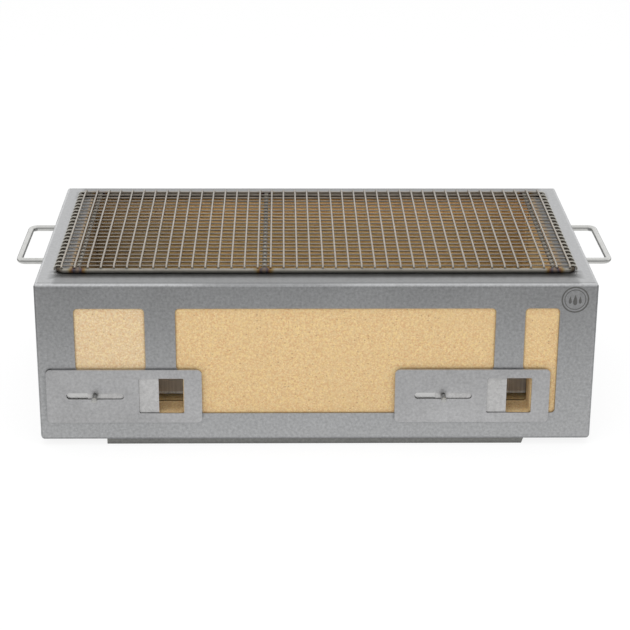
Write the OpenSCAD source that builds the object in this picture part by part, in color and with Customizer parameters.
// Table-top hibachi grill: a folded stainless casing lined with refractory board,
// two sliding air vents, a charcoal grate and a welded wire cooking net.
// Frame: origin on the ground at the centre of the footprint, +Z up, the vents face -Y, +X is right.

/* [Casing] */
// Width of the casing, left to right
casing_w = 700; // [690:1:760]
// Depth of the casing, front to back
casing_d = 400; // [390:1:460]
// Height of the casing above its plinth
casing_h = 209; // [200:1:230]
// Thickness of the casing sheet
sheet_t = 1.5; // [1.2:0.1:1.8]
// Outside radius of the folded edges
fold_r = 5; // [2.5:0.5:6]
// Width of the top flange at the left and right
flange_w = 42; // [40:1:44]
// Width of the top flange at the front and back
flange_d = 48; // [45:1:49]

/* [Windows] */
// Height of the windows' top edge above the casing's lower edge
window_top = 177; // [168:0.5:182]
// Height of the low windows' bottom edge
window_low = 35; // [34:0.5:40]
// Corner radius of the windows
window_r = 5; // [3:0.5:8]

/* [Vents] */
// Left edge of the left vent plate, from the casing's centre
vent_left_x = -339.6; // [-343:0.2:-338]
// Left edge of the right vent plate, from the casing's centre
vent_right_x = 99.2; // [97:0.2:101]
// Height of a vent plate's lower edge above the casing's lower edge
vent_z = 23.6; // [21:0.2:25]
// Width of a vent plate
plate_w = 195.5; // [193:0.5:199]
// Height of a vent plate
plate_h = 72.2; // [70:0.2:76]
// Thickness of a vent plate
plate_t = 1.5; // [1.2:0.1:2]
// Thickness of the guide strips that hold a plate off the casing
guide_t = 1.6; // [1.5:0.1:2]
// Thickness of the sliding shutter
shutter_t = 1.2; // [1:0.1:1.3]
// Travel of the shutter to either side of its half-open place
shutter_travel = 31; // [25:1:32]

/* [Lining] */
// Thickness of the wall boards
wall_t = 40; // [38:1:42]
// Thickness of the floor boards
floor_t = 32; // [30:0.5:35]
// Clearance between the boards and the casing
board_gap = 0.5; // [0.3:0.1:0.8]

/* [Net and grate] */
// Diameter of the net's frame and cross rods
rod_d = 6; // [5:0.5:7]
// Diameter of the net's long wires
long_wire_d = 2; // [1.8:0.1:2.4]
// Diameter of the net's short wires
short_wire_d = 2.5; // [2:0.1:3]
// Number of long wires
long_wires = 23; // [16:1:25]
// Number of short wires
short_wires = 40; // [28:1:44]
// Height of the charcoal grate's plate above the floor boards
grate_h = 45; // [42:1:55]

/* [Handles and feet] */
// Diameter of the handle rod
handle_d = 8; // [6:0.5:9]
// Distance between a handle's legs
handle_span = 134; // [110:1:150]
// Reach of a handle from the casing
handle_reach = 39; // [35:1:55]
// Height of the plinth under the casing
plinth_h = 9; // [7:0.5:12]

/* [Hidden] */
$fn = 48;
eps = 0.01;

steel = [0.70, 0.71, 0.72];
bright_steel = [0.80, 0.80, 0.81];
dark_steel = [0.36, 0.33, 0.30];
board = [0.88, 0.76, 0.56];

// Casing
top_z = plinth_h + casing_h;
front_y = -casing_d / 2;
inner_w = casing_w - 2 * sheet_t;
inner_d = casing_d - 2 * sheet_t;
opening_w = casing_w - 2 * flange_w;
opening_d = casing_d - 2 * flange_d;
opening_r = 3;
foot_r = 5;
pan_z = plinth_h + sheet_t;

// Window edges, from the casing's centre, and how far the sills lie below the vent plates' top
left_window = [-302, -214];
centre_window = [-176, 223.5];
centre_low_window = [-156, 110];
right_window = [260, 303];
right_low_window = [286, 303];
sill_drop = 1.5;

// Vent plate layout, from the plate's lower left corner
plate_r = 6;
guide_h = 7.4;
knob_x = 61.2;
slot_h = 8.6;
slot_z = 36.4;
slot_reach = shutter_travel + slot_h / 2 + 1;
slot_x = [knob_x - slot_reach, knob_x + slot_reach];
vent_window = [116.2, 12.9, 172.9, 60.4];
casing_port = [114, 10.6, 175, 62.2];
board_port = [115.9, 11.4, 171.7, 61.6];
shutter_x = [51.5, 141.2];
shutter_play = 0.5;
knob_d = 7;
knob_neck_d = 5;
knob_out = 15;
plate_y = front_y - guide_t;

// Lining
board_z = plinth_h + 2 * sheet_t;
board_top = top_z - sheet_t - board_gap;
floor_top = board_z + floor_t;
lining_w = inner_w - 2 * board_gap;
lining_d = inner_d - 2 * board_gap;
joint_gap = 0.4;
floor_w = lining_w - 2 * wall_t - 2 * joint_gap;
floor_d = lining_d - 2 * wall_t - 2 * joint_gap;
floor_piece = (floor_w - 2 * joint_gap) / 3;

// Bottom panel and its screws
lip_h = 16;
lip_gap = 0.2;
lip_play = 0.5;
lip_start = 50;
screw_d = 4;
screw_l = 7;
screw_head_d = 7.5;
screw_head_h = 2.2;
screw_z = plinth_h + 9;
side_screws = [-110, 0, 110];
back_screws = [-270, -90, 90, 270];
screw_pocket_d = 9;
screw_pocket_l = 7;

// Plinth
plinth_w = 532;
plinth_inset = 4;
plinth_slant = 3;

// Handles
handle_z = top_z - 16.5;
handle_bend = 9;
handle_x = casing_w / 2 + handle_reach - handle_d / 2;
tenon_d = 5;
tenon_l = 11;
washer_d = 15;
washer_t = 1.2;
nut_flats = 8;
nut_t = 4;
nut_pocket_d = 18;
nut_pocket_l = 13;

// Charcoal grate
grate_w = 600;
grate_d = 296;
grate_t = 2;
skirt_foot = 26;
skirt_rise = 4.5;
hem_d = 3.4;
hem_proud = 0.5;
hem_sink = 0.4;
slot_margin = 20;
slot_cols = 12;
slot_rows = 9;
grate_slot = [34, 9];

// Cooking net, with heights above the casing's top
net_w = 650;
net_d = 321;
net_shift = 2.5;
net_bend = 12;
wire_margin = 7.5;
weld_gap = 0.05;
cross_rod_x = [-299, -65, 300];
rod_z = top_z + rod_d / 2;
long_wire_z = top_z + rod_d + long_wire_d / 2;
short_wire_z = top_z + rod_d + long_wire_d + short_wire_d / 2;
long_wire_pitch = (net_d - 2 * wire_margin) / (long_wires - 1);
short_wire_pitch = (net_w - 12) / (short_wires - 1);
hook_play = 0.3;
hook_rise = (rod_d + long_wire_d) / 2;
hook_r = hook_rise + hook_play;
hook_reach = sqrt(hook_r * hook_r - hook_rise * hook_rise);
hook_turn = 135;
hook_lap = 0.5;

// 2D rectangle from (x0, z0) to (x1, z1) with round corners, made of true arcs.
module round_rect(x0, z0, x1, z1, r) {
    translate([x0 + r, z0]) square([x1 - x0 - 2 * r, z1 - z0]);
    translate([x0, z0 + r]) square([x1 - x0, z1 - z0 - 2 * r]);
    for (x = [x0 + r, x1 - r], z = [z0 + r, z1 - r])
        translate([x, z]) circle(r = r);
}

// Extrudes a 2D shape drawn in X and height above the casing's lower edge, from y towards the back.
module upright(y, depth) {
    translate([0, y + depth, plinth_h])
        rotate([90, 0, 0])
            linear_extrude(depth) children();
}

// Box from z0 to z1, round along its upright and upper edges, and along its lower side edges by foot.
module folded_box(w, d, z0, z1, r, foot) {
    intersection() {
        translate([0, 0, z0]) linear_extrude(z1 - z0) round_rect(-w / 2, -d / 2, w / 2, d / 2, r);
        translate([0, d / 2, 0]) rotate([90, 0, 0])
            linear_extrude(d) {
                round_rect(-w / 2, (z0 + z1) / 2, w / 2, z1, r);
                round_rect(-w / 2, z0, w / 2, z1 - 2 * r, foot);
            }
        translate([-w / 2, 0, 0]) rotate([90, 0, 90])
            linear_extrude(w) round_rect(-d / 2, z0 - 2 * r, d / 2, z1, r);
    }
}

// Places its children at each side screw and each back screw, with +Z pointing out of the casing.
module at_bottom_screws() {
    for (y = side_screws) {
        translate([-casing_w / 2, y, screw_z]) rotate([0, -90, 0]) children();
        translate([casing_w / 2, y, screw_z]) rotate([0, 90, 0]) children();
    }
    for (x = back_screws)
        translate([x, casing_d / 2, screw_z]) rotate([-90, 0, 0]) children();
}

// Places its children at each handle leg, with +Z pointing out of the casing.
module at_handle_legs() {
    for (y = [-handle_span / 2, handle_span / 2]) {
        translate([-casing_w / 2, y, handle_z]) rotate([0, -90, 0]) children();
        translate([casing_w / 2, y, handle_z]) rotate([0, 90, 0]) children();
    }
}

// Windows that show the lining, in front view.
module windows() {
    sill = vent_z + plate_h - sill_drop;
    round_rect(left_window[0], sill, left_window[1], window_top, window_r);
    round_rect(centre_window[0], sill, centre_window[1], window_top, window_r);
    round_rect(centre_low_window[0], window_low, centre_low_window[1], window_top - window_r, window_r);
    round_rect(right_window[0], sill, right_window[1], window_top, window_r);
    round_rect(right_low_window[0], window_low, right_low_window[1], window_top - window_r, window_r);
}

// An opening of a vent, in front view; port holds its corners measured from the plate's lower left corner.
module port_shape(plate_x, port, r) {
    round_rect(plate_x + port[0], vent_z + port[1], plate_x + port[2], vent_z + port[3], r);
}

module casing_shell() {
    color(steel)
    difference() {
        folded_box(casing_w, casing_d, plinth_h, top_z, fold_r, foot_r);
        folded_box(inner_w, inner_d, plinth_h + sheet_t, top_z - sheet_t, fold_r - sheet_t, foot_r - sheet_t);
        translate([-casing_w / 2 + foot_r, -inner_d / 2, plinth_h - 1])
            cube([casing_w - 2 * foot_r, inner_d, 2 * sheet_t + 1]);
        translate([0, 0, top_z - 2 * sheet_t])
            linear_extrude(3 * sheet_t)
                round_rect(-opening_w / 2, -opening_d / 2, opening_w / 2, opening_d / 2, opening_r);
        upright(front_y - 1, sheet_t + 2) {
            windows();
            port_shape(vent_left_x, casing_port, 2);
            port_shape(vent_right_x, casing_port, 2);
        }
        at_bottom_screws() translate([0, 0, -sheet_t - 1]) cylinder(d = screw_d + 0.3, h = sheet_t + 2);
        at_handle_legs() translate([0, 0, -sheet_t - 1]) cylinder(d = tenon_d + 0.2, h = sheet_t + 2);
    }
}

// Flat pan with upright lips at the left, right and back, screwed inside the casing's lower edge.
module bottom_panel() {
    pan_w = inner_w - 2 * lip_gap;
    pan_d = inner_d - 2 * lip_gap;
    color(steel)
    difference() {
        folded_box(pan_w, pan_d, pan_z, pan_z + 2 * lip_h, fold_r - sheet_t, foot_r - sheet_t);
        translate([-pan_w / 2 - 1, -pan_d / 2 - 1, pan_z + lip_h]) cube([pan_w + 2, pan_d + 2, 2 * lip_h]);
        translate([-pan_w / 2 + sheet_t, -pan_d / 2 - 1, pan_z + sheet_t])
            cube([pan_w - 2 * sheet_t, pan_d + 1 - sheet_t, lip_h]);
        translate([-pan_w, -pan_d / 2 - 1, pan_z + sheet_t]) cube([2 * pan_w, lip_start, lip_h]);
        at_bottom_screws() translate([0, 0, -3 * sheet_t]) cylinder(d = screw_d + 0.1, h = 3 * sheet_t);
    }
}

// Shallow tray of folded sheet, open at its ends, that stands on the table and carries the bottom panel.
module base_plinth() {
    plinth_d = casing_d - 2 * plinth_inset;
    outline = [[-plinth_w / 2, 0], [plinth_w / 2 - plinth_slant, 0], [plinth_w / 2, plinth_h],
               [plinth_w / 2, pan_z], [-plinth_w / 2, pan_z]];
    color(dark_steel)
    difference() {
        translate([0, plinth_d / 2, 0]) rotate([90, 0, 0]) linear_extrude(plinth_d) polygon(outline);
        translate([-plinth_w / 2 - 1, -plinth_d / 2 + sheet_t, sheet_t])
            cube([plinth_w + 2, plinth_d - 2 * sheet_t, pan_z]);
    }
}

// Pan-head screws that hold the bottom panel, ten alike.
module bottom_screws() {
    color(bright_steel)
    at_bottom_screws() {
        translate([0, 0, -screw_l]) cylinder(d = screw_d, h = screw_l + eps);
        difference() {
            cylinder(d = screw_head_d, h = screw_head_h);
            for (a = [0, 90])
                rotate([0, 0, a]) translate([-2, -0.4, screw_head_h - 1]) cube([4, 0.8, 2]);
        }
    }
}

// The two strips, above and below the shutter, that a vent plate is welded to.
module vent_guides(plate_x) {
    color(steel)
    upright(plate_y, guide_t)
        for (z = [vent_z, vent_z + plate_h - guide_h])
            round_rect(plate_x + plate_r, z, plate_x + plate_w - plate_r, z + guide_h, 1);
}

module vent_plate(plate_x) {
    color(steel)
    upright(plate_y - plate_t, plate_t)
        difference() {
            round_rect(plate_x, vent_z, plate_x + plate_w, vent_z + plate_h, plate_r);
            port_shape(plate_x, vent_window, 2);
            port_shape(plate_x, [slot_x[0], slot_z - slot_h / 2, slot_x[1], slot_z + slot_h / 2],
                       slot_h / 2 - eps);
        }
}

// Sliding plate between the guide strips; it closes the vent when it moves right.
module vent_shutter(plate_x) {
    low_z = vent_z + guide_h + shutter_play;
    high_z = vent_z + plate_h - guide_h - shutter_play;
    shutter_y = plate_y + (guide_t - shutter_t) / 2;
    color(bright_steel)
    difference() {
        upright(shutter_y, shutter_t)
            round_rect(plate_x + shutter_x[0], low_z, plate_x + shutter_x[1], high_z, 2);
        translate([plate_x + knob_x, shutter_y - 1, plinth_h + vent_z + slot_z])
            rotate([-90, 0, 0]) cylinder(d = knob_neck_d, h = shutter_t + 2);
    }
}

// Stud with a domed end and a riveted neck; it carries the shutter along the slot.
module shutter_knob(plate_x) {
    neck_y = plate_y + (guide_t + shutter_t) / 2;
    reach = knob_out + plate_t + (guide_t - shutter_t) / 2;
    dome = 1.5;
    color(bright_steel)
    translate([plate_x + knob_x, neck_y, plinth_h + vent_z + slot_z])
        rotate([90, 0, 0]) {
            cylinder(d = knob_neck_d, h = shutter_t + 1);
            translate([0, 0, shutter_t]) rotate_extrude() {
                square([knob_d / 2, reach - dome]);
                square([knob_d / 2 - dome, reach]);
                translate([knob_d / 2 - dome, reach - dome]) circle(r = dome);
            }
        }
}

// U-shaped rod, drawn for the right side, with a threaded tenon on each leg.
module handle_rod() {
    leg_y = handle_span / 2;
    leg_l = handle_x - casing_w / 2 - handle_bend;
    translate([casing_w / 2, 0, handle_z]) {
        for (side = [-1, 1]) {
            translate([0, side * leg_y, 0]) rotate([0, 90, 0]) cylinder(d = handle_d, h = leg_l);
            translate([-tenon_l, side * leg_y, 0]) rotate([0, 90, 0]) cylinder(d = tenon_d, h = tenon_l + 1);
            translate([leg_l, side * (leg_y - handle_bend), 0])
                rotate([0, 0, side > 0 ? 0 : -90])
                    rotate_extrude(angle = 90) translate([handle_bend, 0]) circle(d = handle_d);
        }
        translate([leg_l + handle_bend, leg_y - handle_bend, 0])
            rotate([90, 0, 0]) cylinder(d = handle_d, h = handle_span - 2 * handle_bend);
    }
}

module handle_washers() {
    color(bright_steel)
    at_handle_legs()
        translate([0, 0, -sheet_t - washer_t])
            difference() {
                cylinder(d = washer_d, h = washer_t);
                translate([0, 0, -1]) cylinder(d = tenon_d + 0.3, h = washer_t + 2);
            }
}

module handle_nuts() {
    color(bright_steel)
    at_handle_legs()
        translate([0, 0, -sheet_t - washer_t - nut_t])
            difference() {
                cylinder(d = nut_flats / cos(30), h = nut_t, $fn = 6);
                translate([0, 0, -1]) cylinder(d = tenon_d, h = nut_t + 2);
            }
}

// A wall board from (x0, y0) to (x1, y1), with the lining's outer edges rounded to clear the casing's folds.
module wall_board(x0, y0, x1, y1) {
    intersection() {
        translate([x0, y0, board_z]) cube([x1 - x0, y1 - y0, board_top - board_z]);
        folded_box(lining_w, lining_d, board_z - 2 * fold_r, board_top, fold_r - sheet_t, 1);
    }
}

// Front and back boards run the full width; the side boards stand between them.
module front_slab() {
    color(board)
    difference() {
        wall_board(-lining_w / 2, -lining_d / 2, lining_w / 2, -lining_d / 2 + wall_t);
        upright(-lining_d / 2 - 1, wall_t + 2) {
            port_shape(vent_left_x, board_port, 3);
            port_shape(vent_right_x, board_port, 3);
        }
        pan_lip_rebates();
    }
}

module back_slab() {
    color(board)
    difference() {
        wall_board(-lining_w / 2, lining_d / 2 - wall_t, lining_w / 2, lining_d / 2);
        pan_lip_rebates();
        screw_pockets();
    }
}

module side_slab(side) {
    slab_d = lining_d - 2 * wall_t - 2 * joint_gap;
    slab_x = side > 0 ? lining_w / 2 - wall_t : -lining_w / 2;
    color(board)
    difference() {
        wall_board(slab_x, -slab_d / 2, slab_x + wall_t, slab_d / 2);
        pan_lip_rebates();
        screw_pockets();
        at_handle_legs() translate([0, 0, -sheet_t - nut_pocket_l])
            cylinder(d = nut_pocket_d, h = nut_pocket_l);
    }
}

// Rebates along the boards' lower outer edges, for the bottom panel's lips.
module pan_lip_rebates() {
    rebate = sheet_t + lip_gap + lip_play;
    for (side = [-1, 1])
        translate([side * inner_w / 2 - rebate, -casing_d / 2, 0])
            cube([2 * rebate, casing_d, pan_z + lip_h + 1]);
    translate([-casing_w / 2, inner_d / 2 - rebate, 0]) cube([casing_w, 2 * rebate, pan_z + lip_h + 1]);
}

// Clearance pockets around the screws' inner ends.
module screw_pockets() {
    at_bottom_screws()
        translate([0, 0, -sheet_t - screw_pocket_l]) cylinder(d = screw_pocket_d, h = screw_pocket_l);
}

// One of three floor boards, counted from the left.
module floor_slab(place) {
    color(board)
    translate([-floor_w / 2 + place * (floor_piece + joint_gap), -floor_d / 2, board_z])
        cube([floor_piece, floor_d, floor_t]);
}

// Slotted plate on four skirts; each skirt is cut away between its feet, and the long ones have a rolled hem.
module charcoal_grate() {
    pitch_x = (grate_w - 2 * slot_margin) / slot_cols;
    pitch_y = (grate_d - 2 * slot_margin) / slot_rows;
    hem_l = grate_w - 2 * skirt_foot;
    color(dark_steel)
    translate([0, 0, floor_top]) {
        for (side = [-1, 1])
            translate([-hem_l / 2, side * (grate_d / 2 + hem_proud - hem_d / 2),
                       skirt_rise + hem_d / 2 - hem_sink])
                rotate([0, 90, 0]) cylinder(d = hem_d, h = hem_l);
        difference() {
            translate([-grate_w / 2, -grate_d / 2, 0]) cube([grate_w, grate_d, grate_h]);
            translate([-grate_w / 2 + grate_t, -grate_d / 2 + grate_t, -1])
                cube([grate_w - 2 * grate_t, grate_d - 2 * grate_t, grate_h - grate_t + 1]);
            translate([-grate_w / 2 + skirt_foot, -grate_d, -1])
                cube([grate_w - 2 * skirt_foot, 2 * grate_d, skirt_rise + 1]);
            translate([-grate_w, -grate_d / 2 + skirt_foot, -1])
                cube([2 * grate_w, grate_d - 2 * skirt_foot, skirt_rise + 1]);
            for (i = [0 : slot_cols - 1], j = [0 : slot_rows - 1])
                translate([(i + 0.5 - slot_cols / 2) * pitch_x - grate_slot[0] / 2,
                           (j + 0.5 - slot_rows / 2) * pitch_y - grate_slot[1] / 2, grate_h - 2 * grate_t])
                    cube([grate_slot[0], grate_slot[1], 3 * grate_t]);
        }
    }
}

// Closed loop of rod, bent at its four corners.
module net_frame() {
    straight_w = net_w - 2 * net_bend;
    straight_d = net_d - 2 * net_bend;
    color(bright_steel)
    translate([0, net_shift, rod_z]) {
        for (side = [-1, 1]) {
            translate([-straight_w / 2, side * net_d / 2, 0]) rotate([0, 90, 0])
                cylinder(d = rod_d, h = straight_w);
            translate([side * net_w / 2, straight_d / 2, 0]) rotate([90, 0, 0])
                cylinder(d = rod_d, h = straight_d);
        }
        for (turn = [0 : 3])
            translate([(turn == 0 || turn == 3 ? 1 : -1) * straight_w / 2,
                       (turn < 2 ? 1 : -1) * straight_d / 2, 0])
                rotate([0, 0, 90 * turn])
                    rotate_extrude(angle = 90) translate([net_bend, 0]) circle(d = rod_d);
    }
}

// Three rods that carry the wires across the opening, with ends coped to fit round the frame's rods.
module net_cross_rods() {
    color(bright_steel)
    translate([0, net_shift, rod_z])
        difference() {
            for (x = cross_rod_x)
                translate([x, net_d / 2, 0]) rotate([90, 0, 0]) cylinder(d = rod_d, h = net_d);
            for (side = [-1, 1])
                translate([-net_w / 2, side * net_d / 2, 0])
                    rotate([0, 90, 0]) cylinder(d = rod_d + 2 * weld_gap, h = net_w);
        }
}

// One end of a long wire, drawn for the right: it bends down over the outer side of the frame's rod.
module wire_hook() {
    translate([0, 0, -hook_rise])
        rotate([90, 0, 0]) rotate([0, 0, 180 - asin(hook_rise / hook_r) - hook_turn])
            rotate_extrude(angle = hook_turn) translate([hook_r, 0]) circle(d = long_wire_d);
}

module net_long_wires() {
    straight = net_w - 2 * hook_reach + 2 * hook_lap;
    color(bright_steel)
    for (i = [0 : long_wires - 1])
        translate([0, net_shift + (i - (long_wires - 1) / 2) * long_wire_pitch, long_wire_z]) {
            translate([-straight / 2, 0, 0]) rotate([0, 90, 0]) cylinder(d = long_wire_d, h = straight);
            for (turn = [0, 180])
                rotate([0, 0, turn]) translate([net_w / 2, 0, 0]) wire_hook();
        }
}

module net_short_wires() {
    color(bright_steel)
    for (i = [0 : short_wires - 1])
        translate([(i - (short_wires - 1) / 2) * short_wire_pitch, net_shift + net_d / 2, short_wire_z])
            rotate([90, 0, 0]) cylinder(d = short_wire_d, h = net_d);
}

casing_shell();
bottom_panel();
base_plinth();
bottom_screws();
vent_guides(vent_left_x);  // vent_guides_left
vent_guides(vent_right_x);  // vent_guides_right
vent_plate(vent_left_x);  // vent_plate_left
vent_plate(vent_right_x);  // vent_plate_right
vent_shutter(vent_left_x);  // vent_shutter_left
vent_shutter(vent_right_x);  // vent_shutter_right
shutter_knob(vent_left_x);  // shutter_knob_left
shutter_knob(vent_right_x);  // shutter_knob_right
color(bright_steel) mirror([1, 0, 0]) handle_rod();  // handle_left
color(bright_steel) handle_rod();  // handle_right
handle_washers();
handle_nuts();
front_slab();
back_slab();
side_slab(-1);  // left_slab
side_slab(1);  // right_slab
floor_slab(0);  // floor_slab_left
floor_slab(1);  // floor_slab_centre
floor_slab(2);  // floor_slab_right
charcoal_grate();
net_frame();
net_cross_rods();
net_long_wires();
net_short_wires();
